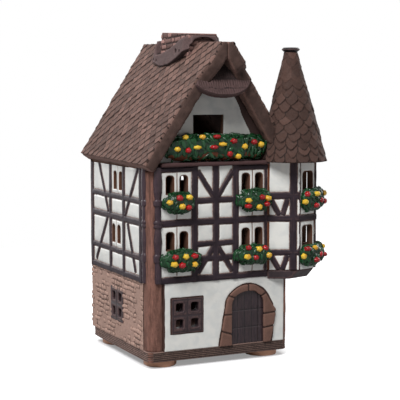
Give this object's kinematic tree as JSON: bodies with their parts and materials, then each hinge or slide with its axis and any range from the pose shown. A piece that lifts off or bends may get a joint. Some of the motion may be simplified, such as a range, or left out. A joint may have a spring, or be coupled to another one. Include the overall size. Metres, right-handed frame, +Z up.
{
  "type": "ceramic half-timbered candle house",
  "caption": "Hollow ceramic model of a tall half-timbered house with a steep roof, chimney and corner turret, glazed windows and flower boxes, to stand over a tea light.",
  "frame": {"origin": "on the plane the feet stand on, below the middle of the base plate", "axes": "+Z up, front with the door towards -Y, +X to the right seen from the front"},
  "size_m": [0.1484, 0.148, 0.242],
  "materials": {
    "base_clay": "matt",
    "brick_clay": "matt",
    "collar_clay": "matt",
    "corner_clay": "matt",
    "green_glaze": "gloss",
    "roof_clay": "matt",
    "stone_relief_clay": "matt",
    "terracotta": "matt",
    "timber_glaze": "satin",
    "white_glaze": "gloss"
  },
  "bodies": {
    "root": {"back_gable_wall": "white_glaze", "back_timber_frame": "timber_glaze", "back_wall_lower": "stone_relief_clay", "back_wall_upper": "white_glaze", "base_plate": "base_clay", "chimney": "brick_clay", "chimney_collar": "collar_clay", "corner_post_back_left": "corner_clay", "corner_post_back_right": "corner_clay", "corner_post_front_left": "corner_clay", "corner_post_front_right": "corner_clay", "door": "timber_glaze", "door_surround": "corner_clay", "foot_back_left": "terracotta", "foot_back_right": "terracotta", "foot_front_left": "terracotta", "foot_front_right": "terracotta", "front_flower_boxes_lower": "green_glaze", "front_flower_boxes_upper": "green_glaze", "front_gable_wall": "white_glaze", "front_timber_frame": "timber_glaze", "front_wall_lower": "white_glaze", "front_wall_upper": "white_glaze", "front_window": "timber_glaze", "gable_garland": "green_glaze", "gable_hood": "roof_clay", "gable_ledge": "collar_clay", "left_timber_frame": "timber_glaze", "left_wall_lower": "stone_relief_clay", "left_wall_upper": "white_glaze", "left_window": "timber_glaze", "right_timber_frame": "timber_glaze", "right_wall_lower": "stone_relief_clay", "right_wall_upper": "white_glaze", "right_window": "timber_glaze", "roof_left": "roof_clay", "roof_right": "roof_clay", "turret_finial": "roof_clay", "turret_floor": "timber_glaze", "turret_flower_boxes_lower": "green_glaze", "turret_flower_boxes_upper": "green_glaze", "turret_roof": "roof_clay", "turret_timber_frame": "timber_glaze", "turret_wall": "white_glaze"}
  },
  "joints": []
}
